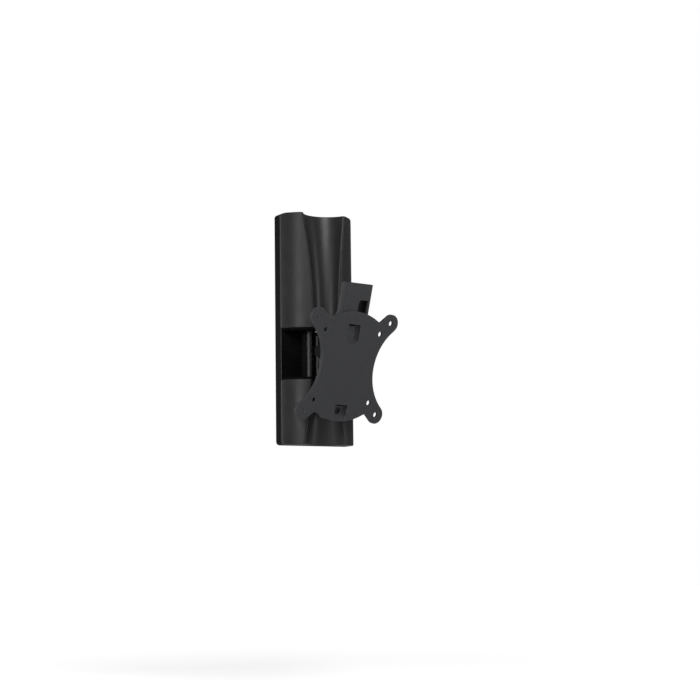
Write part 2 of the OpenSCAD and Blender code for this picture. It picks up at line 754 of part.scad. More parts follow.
// Countersunk screw with a hexagon socket, and its nut behind the tongue
module lock_screw() color([0.3, 0.3, 0.32]) at_tilt() translate([0, 0, lock_z])
    rotate([90, 0, 0]) difference() {
        union() {
            translate([0, 0, pocket_back])
                cylinder(d1 = lock_dia, d2 = lock_head_dia, h = pocket_t);
            translate([0, 0, tongue_back - 4]) cylinder(d = lock_dia, h = fold_t + 4.01);
        }
        translate([0, 0, pocket_back + 0.6]) linear_extrude(height = far)
            hexagon(0.62 * lock_dia);
    }

module lock_nut() color([0.7, 0.7, 0.72]) at_tilt() translate([0, -tongue_back, lock_z])
    rotate([-90, 0, 0]) difference() {
        linear_extrude(height = 0.8 * lock_dia) hexagon(1.75 * lock_dia);
        translate([0, 0, -1]) cylinder(d = lock_dia + 2 * run_gap, h = lock_dia + 2);
    }

wall_plate();
surround();
surround_screws();
hinge_bracket();
hinge_rivets();
hinge_shroud();
shroud_screws();
upper_cover();
lower_cover();
swivel_bolt();
swivel_washer();
swivel_springs();
swivel_nut();
swivel_arm();
swivel_bushes();
swivel_sleeve();
tilt_bolt();
tilt_washer();
tilt_springs();
tilt_nut();
tilt_sleeve();
tilt_channel();
channel_insert();
tilt_bushes();
vesa_plate();
lock_screw();
lock_nut();
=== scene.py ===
"""Dresses the wall mount: smooth covers, rounded steel, screws, finishes, light and camera."""
import json
import math

import bmesh
import bpy
from mathutils import Matrix, Vector


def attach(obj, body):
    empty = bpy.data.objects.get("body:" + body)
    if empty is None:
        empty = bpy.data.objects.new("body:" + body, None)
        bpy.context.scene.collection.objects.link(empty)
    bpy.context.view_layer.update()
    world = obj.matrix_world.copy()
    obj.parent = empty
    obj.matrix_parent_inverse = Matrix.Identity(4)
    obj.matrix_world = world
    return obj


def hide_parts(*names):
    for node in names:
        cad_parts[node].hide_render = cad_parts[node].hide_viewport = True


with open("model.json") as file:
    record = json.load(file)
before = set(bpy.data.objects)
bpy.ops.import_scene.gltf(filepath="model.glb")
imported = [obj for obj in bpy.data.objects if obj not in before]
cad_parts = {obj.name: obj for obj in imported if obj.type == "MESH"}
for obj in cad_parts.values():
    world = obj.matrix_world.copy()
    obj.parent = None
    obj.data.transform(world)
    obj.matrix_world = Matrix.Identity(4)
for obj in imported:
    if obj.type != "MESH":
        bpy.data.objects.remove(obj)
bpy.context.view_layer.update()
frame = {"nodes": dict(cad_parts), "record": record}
MM = 0.001

# Column, in millimetres, as the solids have it
HALF_W = 44.0
LOW, TOP = -97.0, 153.0
MIDDLE = (LOW + TOP) / 2
HALF_BAND = 27.7
SEAT_GAP = 0.2
SURROUND_D = 11.0
SURROUND_WALL = 2.4
COVER_BACK = SURROUND_D + SEAT_GAP
COVER_WALL = 2.2
CORNER_R = 4.0
EDGE_R = 2.6
ARCH_D = 37.2
ARCH_DROP = 0.6
ARCH_RISE = ARCH_D - (SURROUND_D + EDGE_R - ARCH_DROP)
ARCH_R = (HALF_W ** 2 + ARCH_RISE ** 2) / (2 * ARCH_RISE)
ARCH_CENTRE = ARCH_D - ARCH_R
SCOOP_AXIS = 41.0
SCOOP_WAIST_R = 16.2
SCOOP_END_R = 27.0
CREST_R = 2.6
LEAST_EDGE_R = 0.3
LEAST_CREST_R = 0.15

# Covers' ends: the closed end's rounding, the lip at the band, and where the inner skin turns in
END_R = 0.9
LIP_R = 0.5
INNER_TURN = CORNER_R + 0.5

# Snap hooks of the covers: the tip and the catch are depths from the wall
HOOK_FROM_SIDE = 2.6
HOOK_X = HALF_W - HOOK_FROM_SIDE
HOOK_T = 1.6
HOOK_HALF_H = 6.0
HOOK_BARB = 0.9
HOOK_TIP = 5.4
HOOK_LEAD = 0.2
HOOK_CATCH = 8.4
HOOK_FROM_BAND = 24.0
HOOK_FROM_END = 19.0

# Shroud: its walls, and the shelves just inside the covers' ends
SHROUD_WALL = 2.0
SHELF_GAP = 0.4
SHELF_IN = HALF_BAND - SHELF_GAP - SHROUD_WALL
NEAR = 0.1

# Screws of the surround on its ledge, and those of the shroud in posts beyond the band
LEDGE_W = 7.2
LEDGE_X = HALF_W - SURROUND_WALL - LEDGE_W / 2
LEDGE_FRONT = 5.1
SCREW_FROM_END = 32.0
SCREW_HEAD_H = 2.4
SCREW_HEAD_R = 3.4
SCREW_R = 2.0
SCREW_LENGTH = 4.8
POST_X = LEDGE_X - 2.0
POST_FROM_BAND = 7.0
POST_SCREW_HEAD_R = 3.0
POST_SCREW_R = 1.5
POST_SCREW_LENGTH = 7.5

# Hinge axes at rest, and the cross bolt's threaded end
PIN_D = 14.0
REACH = 34.0
SWIVEL = math.radians(10.5)
TO_PIN = Matrix.Translation((0, -PIN_D * MM, 0)) @ Matrix.Rotation(SWIVEL, 4, "Z")
CHANNEL_SIDE = 20.05
SPRING_STACK = 3.3
NUT_T = 8.0
THREAD_R = 3.9
THREAD_PITCH = 0.7
THREAD_TURNS = 2.2
THREAD_RIDGE = 0.3


# Shader tree helpers

def put(tree, kind, values=None, **settings):
    """One node, with its settings and with numbers or other nodes' outputs on its inputs."""
    node = tree.nodes.new(kind)
    for key, value in settings.items():
        setattr(node, key, value)
    for key, value in (values or {}).items():
        if isinstance(value, bpy.types.NodeSocket):
            tree.links.new(value, node.inputs[key])
        else:
            node.inputs[key].default_value = value
    return node


def group_with(name, inputs, outputs):
    """An empty shader group with named number inputs and outputs."""
    tree = bpy.data.node_groups.new(name, "ShaderNodeTree")
    for label, value in inputs:
        socket = tree.interface.new_socket(label, in_out="INPUT", socket_type="NodeSocketFloat")
        socket.default_value = value
    for label in outputs:
        tree.interface.new_socket(label, in_out="OUTPUT", socket_type="NodeSocketFloat")
    return tree, tree.nodes.new("NodeGroupInput"), tree.nodes.new("NodeGroupOutput")


def build_grain():
    """Fine moulded or sprayed grain: a height and a slow patchiness."""
    tree, entry, leave = group_with("surface grain", [("Scale", 2500.0), ("Patch scale", 60.0)],
                                    ["Height", "Patches"])
    where = put(tree, "ShaderNodeTexCoord").outputs["Object"]
    fine = put(tree, "ShaderNodeTexNoise", {"Vector": where, "Scale": entry.outputs["Scale"],
                                            "Detail": 2.0, "Roughness": 0.6})
    cells = put(tree, "ShaderNodeTexVoronoi", {"Vector": where, "Scale": entry.outputs["Scale"]})
    both = put(tree, "ShaderNodeMath", {0: fine.outputs["Fac"], 1: cells.outputs["Distance"]},
               operation="ADD")
    slow = put(tree, "ShaderNodeTexNoise", {"Vector": where, "Scale": entry.outputs["Patch scale"],
                                            "Detail": 4.0, "Roughness": 0.55})
    tree.links.new(both.outputs[0], leave.inputs["Height"])
    tree.links.new(slow.outputs["Fac"], leave.inputs["Patches"])
    return tree


def build_edge_wear_and_highlight():
    """Edge wear from handling, and on the graphite coat also a painted edge highlight: strongest on
    the outermost line, broken up by noise.
    """
    tree, entry, leave = group_with("rubbed edges", [("Radius", 0.0006), ("Strength", 1.0)], ["Mask"])
    where = put(tree, "ShaderNodeTexCoord").outputs["Object"]
    soft = put(tree, "ShaderNodeBevel", {"Radius": entry.outputs["Radius"]}, samples=6)
    flat = put(tree, "ShaderNodeNewGeometry")
    turn = put(tree, "ShaderNodeVectorMath", {0: soft.outputs[0], 1: flat.outputs["Normal"]},
               operation="DOT_PRODUCT")
    bend = put(tree, "ShaderNodeMapRange", {"Value": turn.outputs["Value"], "From Min": 0.995,
                                            "From Max": 0.86})
    noise = put(tree, "ShaderNodeTexNoise", {"Vector": where, "Scale": 240.0, "Detail": 5.0})
    broken = put(tree, "ShaderNodeMapRange", {"Value": noise.outputs["Fac"], "From Min": 0.3,
                                              "From Max": 0.65, "To Min": 0.45})
    mask = put(tree, "ShaderNodeMath", {0: bend.outputs[0], 1: broken.outputs[0]},
               operation="MULTIPLY")
    rubbed = put(tree, "ShaderNodeMath", {0: mask.outputs[0], 1: entry.outputs["Strength"]},
                 operation="MULTIPLY", use_clamp=True)
    tree.links.new(rubbed.outputs[0], leave.inputs["Mask"])
    return tree


def build_dust():
    """Thin dust where a face looks up, and faint finger marks elsewhere."""
    tree, entry, leave = group_with("dust and finger marks", [("Dust", 0.2), ("Marks", 0.2)],
                                    ["Dust", "Marks"])
    where = put(tree, "ShaderNodeTexCoord").outputs["Object"]
    face = put(tree, "ShaderNodeNewGeometry")
    upward = put(tree, "ShaderNodeSeparateXYZ", {0: face.outputs["Normal"]})
    up = put(tree, "ShaderNodeMapRange", {"Value": upward.outputs["Z"], "From Min": 0.25,
                                          "From Max": 1.0})
    specks = put(tree, "ShaderNodeTexNoise", {"Vector": where, "Scale": 900.0, "Detail": 6.0})
    thin = put(tree, "ShaderNodeMapRange", {"Value": specks.outputs["Fac"], "From Min": 0.35,
                                            "From Max": 0.8})
    lying = put(tree, "ShaderNodeMath", {0: up.outputs[0], 1: thin.outputs[0]},
                operation="MULTIPLY")
    dust = put(tree, "ShaderNodeMath", {0: lying.outputs[0], 1: entry.outputs["Dust"]},
               operation="MULTIPLY", use_clamp=True)
    cloud = put(tree, "ShaderNodeTexNoise", {"Vector": where, "Scale": 28.0, "Detail": 3.0,
                                             "Distortion": 1.2})
    smear = put(tree, "ShaderNodeMapRange", {"Value": cloud.outputs["Fac"], "From Min": 0.48,
                                             "From Max": 0.72})
    marks = put(tree, "ShaderNodeMath", {0: smear.outputs[0], 1: entry.outputs["Marks"]},
                operation="MULTIPLY", use_clamp=True)
    tree.links.new(dust.outputs[0], leave.inputs["Dust"])
    tree.links.new(marks.outputs[0], leave.inputs["Marks"])
    return tree


GRAIN = build_grain()
EDGES = build_edge_wear_and_highlight()
DUST = build_dust()
DUST_COLOUR = (0.34, 0.33, 0.31, 1)


def shared(tree, group, **values):
    """A shared group placed in a material, with the material's own values on its inputs."""
    node = tree.nodes.new("ShaderNodeGroup")
    node.node_tree = group
    for key, value in values.items():
        node.inputs[key.replace("_", " ")].default_value = value
    return node


def finish(name, colour, edge_wear_and_highlight, rough, rough_spread, grain, grain_mm, edge_mm, dust, metallic=0.0,
           specular=0.5, patch=0.25):
    """A finish: base colour with slow patchiness, paler edges (wear, and on the graphite coat a
    painted highlight), dust, grain as a bump.
    """
    material = bpy.data.materials.new(name)
    material.use_nodes = True
    tree = material.node_tree
    shader = tree.nodes["Principled BSDF"]
    texture = shared(tree, GRAIN, Scale=grain, Patch_scale=70.0)
    rubbed = shared(tree, EDGES, Radius=edge_mm * MM, Strength=1.0)
    settled = shared(tree, DUST, Dust=dust, Marks=0.35)
    deep = tuple(c * (1 - patch) for c in colour) + (1,)
    light = tuple(c * (1 + patch) for c in colour) + (1,)
    base = put(tree, "ShaderNodeMix", {0: texture.outputs["Patches"], 6: deep, 7: light},
               data_type="RGBA")
    # Paler edges: wear from handling, and on the graphite coat a painted highlight along the rims.
    edged = put(tree, "ShaderNodeMix", {0: rubbed.outputs["Mask"], 6: base.outputs[2],
                                        7: tuple(edge_wear_and_highlight) + (1,)}, data_type="RGBA")
    dusty = put(tree, "ShaderNodeMix", {0: settled.outputs["Dust"], 6: edged.outputs[2],
                                        7: DUST_COLOUR}, data_type="RGBA")
    tree.links.new(dusty.outputs[2], shader.inputs["Base Color"])
    slow = put(tree, "ShaderNodeMapRange", {"Value": texture.outputs["Patches"],
                                            "From Min": 0.3, "From Max": 0.7,
                                            "To Min": rough - rough_spread,
                                            "To Max": rough + rough_spread})
    greasy = put(tree, "ShaderNodeMath", {0: settled.outputs["Marks"], 1: -0.12, 2: slow.outputs[0]},
                 operation="MULTIPLY_ADD")
    dry = put(tree, "ShaderNodeMath", {0: settled.outputs["Dust"], 1: 0.4, 2: greasy.outputs[0]},
              operation="MULTIPLY_ADD", use_clamp=True)
    tree.links.new(dry.outputs[0], shader.inputs["Roughness"])
    bump = put(tree, "ShaderNodeBump", {"Height": texture.outputs["Height"], "Strength": 1.0,
                                        "Distance": grain_mm * MM})
    tree.links.new(bump.outputs[0], shader.inputs["Normal"])
    shader.inputs["Metallic"].default_value = metallic
    shader.inputs["Specular IOR Level"].default_value = specular
    return material


COVER = finish("satin anthracite moulding", colour=(0.019, 0.019, 0.0195), edge_wear_and_highlight=(0.04, 0.04, 0.041),
               rough=0.36, rough_spread=0.04, grain=2600.0, grain_mm=0.005, edge_mm=0.5, dust=0.05,
               specular=0.3, patch=0.1)
RIM = finish("black moulding", colour=(0.004, 0.004, 0.0045), edge_wear_and_highlight=(0.012, 0.012, 0.0125),
             rough=0.5, rough_spread=0.06, grain=2200.0, grain_mm=0.008, edge_mm=0.4, dust=0.06,
             specular=0.12)
GLOSS = finish("gloss black moulding", colour=(0.0015, 0.0015, 0.0018), edge_wear_and_highlight=(0.006, 0.006, 0.0065),
               rough=0.28, rough_spread=0.03, grain=900.0, grain_mm=0.0006, edge_mm=0.3, dust=0.05,
               specular=0.4)
# A matt, barely reflecting copy of the shroud's gloss black: painted shade for the shelves in the dark
# gaps between the covers' ends and the band.
PAINTED_SHADE = finish("painted shade on shroud shelves", colour=(0.002, 0.002, 0.0022), edge_wear_and_highlight=(0.004, 0.004, 0.0042),
               rough=0.7, rough_spread=0.05, grain=2200.0, grain_mm=0.008, edge_mm=0.3, dust=0.05,
               specular=0.04)
# The graphite coat's much paler edge colour is partly wear and partly a painted highlight along the
# plate's and channel's rims.
GRAPHITE = finish("graphite powder coat", colour=(0.032, 0.0325, 0.035), edge_wear_and_highlight=(0.085, 0.087, 0.092),
                  rough=0.48, rough_spread=0.06, grain=1300.0, grain_mm=0.02, edge_mm=0.8, dust=0.06,
                  specular=0.25, patch=0.16)
BLACK_COAT = finish("black powder coat", colour=(0.006, 0.006, 0.0065), edge_wear_and_highlight=(0.03, 0.03, 0.031),
                    rough=0.5, rough_spread=0.06, grain=1500.0, grain_mm=0.014, edge_mm=0.5,
                    dust=0.05, specular=0.15)
ZINC = finish("zinc plating", colour=(0.52, 0.53, 0.55), edge_wear_and_highlight=(0.72, 0.72, 0.73),
              rough=0.34, rough_spread=0.08, grain=900.0, grain_mm=0.003, edge_mm=0.4, dust=0.06,
              metallic=1.0, patch=0.14)
SPRING = finish("phosphated spring steel", colour=(0.09, 0.09, 0.095), edge_wear_and_highlight=(0.3, 0.3, 0.31),
                rough=0.45, rough_spread=0.08, grain=1200.0, grain_mm=0.004, edge_mm=0.3, dust=0.05,
                metallic=1.0, patch=0.2)
OXIDE = finish("black oxide steel", colour=(0.009, 0.009, 0.01), edge_wear_and_highlight=(0.06, 0.06, 0.063),
               rough=0.45, rough_spread=0.06, grain=1200.0, grain_mm=0.003, edge_mm=0.3, dust=0.04,
               metallic=1.0, patch=0.2)
SLEEVE = finish("drawn steel tube", colour=(0.035, 0.035, 0.037), edge_wear_and_highlight=(0.2, 0.2, 0.21),
                rough=0.36, rough_spread=0.06, grain=1200.0, grain_mm=0.003, edge_mm=0.3, dust=0.04,
                metallic=1.0, patch=0.16)
NYLON = finish("black nylon", colour=(0.01, 0.01, 0.0105), edge_wear_and_highlight=(0.02, 0.02, 0.0205),
               rough=0.5, rough_spread=0.05, grain=1500.0, grain_mm=0.004, edge_mm=0.3, dust=0.05,
               patch=0.06)


# Mesh helpers

def mesh_object(name, bm, material):
    """A new piece from mesh code, at the origin, with one material."""
    name = name.replace(" ", "-")
    mesh = bpy.data.meshes.new(name)
    bm.to_mesh(mesh)
    bm.free()
    mesh.materials.append(material)
    piece = bpy.data.objects.new(name, mesh)
    bpy.context.scene.collection.objects.link(piece)
    return piece


def soften(mesh, angle):
    """Smooth faces, with the edges past the angle kept crisp."""
    bm = bmesh.new()
    bm.from_mesh(mesh)
    for face in bm.faces:
        face.smooth = True
    for edge in bm.edges:
        edge.smooth = len(edge.link_faces) == 2 and edge.calc_face_angle(0.0) < math.radians(angle)
    bm.to_mesh(mesh)
    bm.free()


def apply_modifiers(piece):
    """The evaluated shape becomes the piece's own mesh, and its modifiers go."""
    graph = bpy.context.evaluated_depsgraph_get()
    mesh = bpy.data.meshes.new_from_object(piece.evaluated_get(graph), depsgraph=graph)
    piece.modifiers.clear()
    piece.data = mesh


def steady(piece, angle=32.0):
    """Smooth shading that turns along the edges only: flat faces keep their own direction."""
    soften(piece.data, angle)
    weigh = piece.modifiers.new("flat faces", "WEIGHTED_NORMAL")
    weigh.weight = 100
    weigh.keep_sharp = True
    apply_modifiers(piece)


def joined(piece, body, slot, *nodes):
    """The piece rides on its body and stands for its solids; its slot is not used."""
    if nodes:
        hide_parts(*nodes)
    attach(piece, body)
    return piece


BODY_OF = {node: body for body, nodes in frame["record"]["behaviour"]["bodies"].items()
           for node in nodes}
SLOT_OF = {part["node"]: part["material_slot"] for part in frame["record"]["subparts"]}


def rounded(node, name, material, radius, segments=2):
    """A solid's faces made whole again, with its edges broken by a small radius."""
    bm = bmesh.new()
    bm.from_mesh(frame["nodes"][node].data)
    bmesh.ops.remove_doubles(bm, verts=bm.verts, dist=0.002 * MM)
    bmesh.ops.dissolve_limit(bm, angle_limit=math.radians(0.6), verts=bm.verts, edges=bm.edges)
    piece = mesh_object(name, bm, material)
    bevel = piece.modifiers.new("edge radius", "BEVEL")
    bevel.width = radius * MM
    bevel.segments = segments
    bevel.limit_method = "ANGLE"
    bevel.angle_limit = math.radians(38)
    apply_modifiers(piece)
    steady(piece)
    return joined(piece, BODY_OF[node], SLOT_OF[node], node)


# Covers

def scoop_r(z):
    """The scoop's radius at a height: narrow at the waist, wide at the ends."""
    return SCOOP_WAIST_R + (SCOOP_END_R - SCOOP_WAIST_R) * ((z - MIDDLE) / (TOP - MIDDLE)) ** 2


def sweep(count, start, end):
    """Evenly spaced values from start to end, both included."""
    return [start + (end - start) * i / count for i in range(count + 1)]


def cover_section(z, inset, half):
    """Cross-section at one height, left to right, as (x, depth): the same count at any height."""
    arch = ARCH_R - inset
    side = half - inset
    edge = max(EDGE_R - inset, LEAST_EDGE_R)
    edge_x = side - edge
    edge_d = ARCH_CENTRE + math.sqrt((arch - edge) ** 2 - edge_x ** 2)
    to_edge = math.atan2(edge_x, edge_d - ARCH_CENTRE)
    scoop = scoop_r(z) + inset
    crest = max(CREST_R - inset, LEAST_CREST_R)
    squares = (arch - crest) ** 2 - (scoop + crest) ** 2 + SCOOP_AXIS ** 2 - ARCH_CENTRE ** 2
    crest_d = squares / (2 * (SCOOP_AXIS - ARCH_CENTRE))
    crest_x = math.sqrt((arch - crest) ** 2 - (crest_d - ARCH_CENTRE) ** 2)
    to_crest = math.atan2(crest_x, crest_d - ARCH_CENTRE)
    to_valley = math.atan2(crest_x, SCOOP_AXIS - crest_d)
    left = [(-side, d) for d in sweep(3, COVER_BACK, edge_d)]
    left += [(-edge_x - edge * math.cos(a), edge_d + edge * math.sin(a))
             for a in sweep(8, 0, math.pi / 2 - to_edge)][1:]
    left += [(arch * math.sin(a), ARCH_CENTRE + arch * math.cos(a))
             for a in sweep(26, -to_edge, -to_crest)][1:]
    left += [(-crest_x + crest * math.sin(a), crest_d + crest * math.cos(a))
             for a in sweep(8, -to_crest, to_valley)][1:]
    left += [(scoop * math.sin(a), SCOOP_AXIS - scoop * math.cos(a))
             for a in sweep(22, -to_valley, 0)][1:]
    return left + [(-x, d) for x, d in reversed(left[:-1])]


def half_width(z):
    """Half the column's width at a height, with its corners rounded."""
    past = max(z - (TOP - CORNER_R), (LOW + CORNER_R) - z, 0.0)
    return HALF_W - CORNER_R + math.sqrt(max(CORNER_R ** 2 - past ** 2, 0.0))


def cover_mesh(open_z, closed_z):
    """Outside and inside skins of a cover, joined at the open end and along the back."""
    up = 1 if closed_z > open_z else -1
    outer = [(open_z + up * LIP_R * (1 - math.sin(a)), LIP_R * (1 - math.cos(a)))
             for a in sweep(4, math.pi / 2, 0)]
    outer += [(z, 0.0) for z in sweep(38, open_z + up * LIP_R, closed_z - up * CORNER_R)][1:]
    outer += [(closed_z - up * (CORNER_R - (CORNER_R - END_R) * t), 0.0)
              for t in sweep(8, 0, 1)][1:]
    outer += [(closed_z - up * END_R * (1 - math.sin(a)), END_R * (1 - math.cos(a)))
              for a in sweep(6, 0, math.pi / 2)][1:]
    turn_z = closed_z - up * INNER_TURN
    inner = [(z, COVER_WALL) for z in sweep(16, open_z, turn_z)]
    inner += [(z, COVER_WALL) for z in sweep(4, turn_z, closed_z - up * COVER_WALL)][1:]
    bm = bmesh.new()

    def skin(rows):
        return [[bm.verts.new((x * MM, -d * MM, z * MM))
                 for x, d in cover_section(z, inset, half_width(z))] for z, inset in rows]

    def bridge(row, following):
        for i in range(len(row) - 1):
            bm.faces.new((row[i], row[i + 1], following[i + 1], following[i]))

    outside = skin(outer)
    inside = skin(inner)
    for rows in (outside, inside):
        for row, following in zip(rows, rows[1:]):
            bridge(row, following)
    bridge(outside[0], inside[0])
    bm.faces.new(outside[-1])
    bm.faces.new(inside[-1])
    for end in (0, -1):
        loop = [row[end] for row in outside] + [row[end] for row in reversed(inside)]
        bm.faces.new(loop)
    bm.faces.new((outside[-1][0], outside[-1][-1], inside[-1][-1], inside[-1][0]))
    return bm


def cover_hooks(bm, heights):
    """Snap hooks inside the side walls, at the heights given."""
    outline = [(HOOK_X - HOOK_T, COVER_BACK + HOOK_T), (HOOK_X - HOOK_T, HOOK_TIP + HOOK_LEAD),
               (HOOK_X - HOOK_T / 2, HOOK_TIP), (HOOK_X + HOOK_BARB, HOOK_CATCH - HOOK_BARB),
               (HOOK_X + HOOK_BARB, HOOK_CATCH), (HOOK_X, HOOK_CATCH), (HOOK_X, COVER_BACK),
               (HALF_W - COVER_WALL / 2, COVER_BACK), (HALF_W - COVER_WALL / 2, COVER_BACK + HOOK_T)]
    for z in heights:
        for side in (-1, 1):
            ends = [[bm.verts.new((side * x * MM, -d * MM, (z + dz) * MM)) for x, d in outline]
                    for dz in (-HOOK_HALF_H, HOOK_HALF_H)]
            bm.faces.new(ends[0])
            bm.faces.new(ends[1])
            for i in range(len(outline)):
                j = (i + 1) % len(outline)
                bm.faces.new((ends[0][i], ends[0][j], ends[1][j], ends[1][i]))


def make_cover(name, node, open_z, closed_z):
    """A smooth cover from the band to the column's end, with a pair of hooks near each."""
    up = 1 if closed_z > open_z else -1
    bm = cover_mesh(open_z, closed_z)
    cover_hooks(bm, (open_z + up * HOOK_FROM_BAND, closed_z - up * HOOK_FROM_END))
    bmesh.ops.recalc_face_normals(bm, faces=bm.faces)
    piece = mesh_object(name, bm, COVER)
    steady(piece, angle=40)
    return joined(piece, "column", SLOT_OF[node], node)


make_cover("upper cover", "upper_cover", HALF_BAND, TOP)
make_cover("lower cover", "lower_cover", -HALF_BAND, LOW)


# Solids carried over, each with its edge radius in millimetres

rounded("surround", "black surround", RIM, radius=0.35)
shroud = rounded("hinge_shroud", "gloss shroud", GLOSS, radius=0.25)
# Faces past the shelves' inner side take the matt copy: painted shade in the gaps at the covers' ends.
shroud.data.materials.append(PAINTED_SHADE)
for face in shroud.data.polygons:
    if abs(face.center.z) > (SHELF_IN - NEAR) * MM:
        face.material_index = 1
rounded("swivel_arm", "swivel arm", BLACK_COAT, radius=0.3)
rounded("tilt_channel", "tilting channel", GRAPHITE, radius=0.35)
rounded("vesa_plate", "screen plate", GRAPHITE, radius=0.4, segments=3)
rounded("channel_insert", "channel tray", RIM, radius=0.2)
rounded("wall_plate", "wall plate", ZINC, radius=0.3)
rounded("hinge_bracket", "hinge bracket", ZINC, radius=0.3)
rounded("swivel_bolt", "upright bolt", ZINC, radius=0.3)
rounded("swivel_washer", "upper washer", ZINC, radius=0.2)
rounded("swivel_springs", "upright disc springs", SPRING, radius=0.1)
rounded("swivel_nut", "upright nut", ZINC, radius=0.3)
rounded("swivel_bushes", "swivel bushes", NYLON, radius=0.15)
rounded("swivel_sleeve", "upright sleeve", SLEEVE, radius=0.2)
rounded("tilt_bolt", "cross bolt", OXIDE, radius=0.3)
rounded("tilt_washer", "cross washer", OXIDE, radius=0.2)
rounded("tilt_springs", "cross disc springs", SPRING, radius=0.1)
rounded("tilt_nut", "cross nut", OXIDE, radius=0.3)
rounded("tilt_sleeve", "cross sleeve", SLEEVE, radius=0.2)
rounded("tilt_bushes", "tilt bushes", NYLON, radius=0.15)
rounded("lock_screw", "lock screw", BLACK_COAT, radius=0.1)
rounded("lock_nut", "lock nut", ZINC, radius=0.2)
rounded("hinge_rivets", "hinge rivets", ZINC, radius=0.2)


# Repeated pieces, made by geometry trees

def tree_with(name, inputs):
    """An empty geometry tree with named number inputs, ready for close_tree."""
    tree = bpy.data.node_groups.new(name, "GeometryNodeTree")
    tree.interface.new_socket("Geometry", in_out="INPUT", socket_type="NodeSocketGeometry")
    tree.interface.new_socket("Geometry", in_out="OUTPUT", socket_type="NodeSocketGeometry")
    for label in inputs:
        tree.interface.new_socket(label, in_out="INPUT", socket_type="NodeSocketFloat")
    tree.interface.new_socket("Material", in_out="INPUT", socket_type="NodeSocketMaterial")
    return tree, tree.nodes.new("NodeGroupInput").outputs


def close_tree(tree, geometry, entry):
    """The tree's end: Realize Instances and Set Material."""
    plain = put(tree, "GeometryNodeRealizeInstances", {"Geometry": geometry})
    dressed = put(tree, "GeometryNodeSetMaterial", {"Geometry": plain.outputs[0],
                                                    "Material": entry["Material"]})
    leave = tree.nodes.new("NodeGroupOutput")
    tree.links.new(dressed.outputs[0], leave.inputs["Geometry"])
    return tree


def axis(tree, **parts):
    """A vector whose X, Y and Z are numbers or other nodes' outputs."""
    return put(tree, "ShaderNodeCombineXYZ", parts).outputs[0]


def scaled(tree, value, factor):
    """Another node's output times a factor."""
    return put(tree, "ShaderNodeMath", {0: value, 1: factor}, operation="MULTIPLY").outputs[0]


def screw_tree():
    """Four pan head screws with a cross recess, at the corners of an upright rectangle."""
    names = ("Spread X", "Spread Z", "Middle Z", "Seat depth", "Head radius", "Head height",
             "Shank radius", "Shank length")
    tree, entry = tree_with("pan head screws", names)
    head = put(tree, "GeometryNodeMeshCone", {
        "Vertices": 48, "Side Segments": 3, "Radius Top": scaled(tree, entry["Head radius"], 0.82),
        "Radius Bottom": entry["Head radius"], "Depth": entry["Head height"]})
    long = scaled(tree, entry["Head radius"], 1.1)
    wide = scaled(tree, entry["Head radius"], 0.28)
    up = scaled(tree, entry["Head height"], 0.95)
    cut = put(tree, "GeometryNodeMeshBoolean", {"Mesh 1": head.outputs[0]}, operation="DIFFERENCE")
    for x, y in ((long, wide), (wide, long)):
        bar = put(tree, "GeometryNodeMeshCube", {"Size": axis(tree, X=x, Y=y,
                                                              Z=entry["Head height"])})
        raised = put(tree, "GeometryNodeTransform", {"Geometry": bar.outputs[0],
                                                     "Translation": axis(tree, Z=up)})
        tree.links.new(raised.outputs[0], cut.inputs["Mesh 2"])
    shank = put(tree, "GeometryNodeMeshCylinder", {
        "Vertices": 24, "Radius": entry["Shank radius"], "Depth": entry["Shank length"]})
    lower = put(tree, "GeometryNodeTransform", {
        "Geometry": shank.outputs[0],
        "Translation": axis(tree, Z=scaled(tree, entry["Shank length"], -0.5))})
    screw = put(tree, "GeometryNodeJoinGeometry")
    tree.links.new(cut.outputs[0], screw.inputs[0])
    tree.links.new(lower.outputs[0], screw.inputs[0])
    turned = put(tree, "GeometryNodeTransform", {"Geometry": screw.outputs[0],
                                                 "Rotation": (math.pi / 2, 0, 0)})
    grid = put(tree, "GeometryNodeMeshGrid", {"Size X": entry["Spread X"], "Size Y": entry["Spread Z"],
                                              "Vertices X": 2, "Vertices Y": 2})
    placed = put(tree, "GeometryNodeTransform", {
        "Geometry": grid.outputs[0], "Rotation": (math.pi / 2, 0, 0),
        "Translation": axis(tree, Y=scaled(tree, entry["Seat depth"], -1.0), Z=entry["Middle Z"])})
    spread = put(tree, "GeometryNodeInstanceOnPoints", {"Points": placed.outputs[0],
                                                        "Instance": turned.outputs[0]})
    return close_tree(tree, spread.outputs[0], entry)


def thread_tree():
    """The ridge of a screw thread along +Z, from a spiral swept with a small three-sided profile."""
    tree, entry = tree_with("thread ridge", ("Radius", "Pitch", "Turns", "Ridge"))
    spiral = put(tree, "GeometryNodeCurveSpiral", {
        "Resolution": 32, "Rotations": entry["Turns"], "Start Radius": entry["Radius"],
        "End Radius": entry["Radius"], "Height": scaled(tree, entry["Pitch"], entry["Turns"])})
    profile = put(tree, "GeometryNodeCurvePrimitiveCircle", {"Resolution": 3,
                                                             "Radius": entry["Ridge"]})
    ridge = put(tree, "GeometryNodeCurveToMesh", {"Curve": spiral.outputs[0],
                                                  "Profile Curve": profile.outputs[0],
                                                  "Fill Caps": True})
    return close_tree(tree, ridge.outputs[0], entry)


def grown(name, tree, material, values, place=None):
    """A plain mesh piece made by a geometry tree, moved to its place within its own mesh."""
    piece = mesh_object(name, bmesh.new(), material)
    grow = piece.modifiers.new("grow", "NODES")
    grow.node_group = tree
    for item in tree.interface.items_tree:
        if item.in_out == "INPUT" and item.name in values:
            grow[item.identifier] = float(values[item.name])
        elif item.in_out == "INPUT" and item.name == "Material":
            grow[item.identifier] = material
    apply_modifiers(piece)
    if place is not None:
        piece.data.transform(place)
    bm = bmesh.new()
    bm.from_mesh(piece.data)
    bmesh.ops.remove_doubles(bm, verts=bm.verts, dist=0.001 * MM)
    bmesh.ops.recalc_face_normals(bm, faces=bm.faces)
    bm.to_mesh(piece.data)
    bm.free()
    steady(piece, angle=35)
    return piece


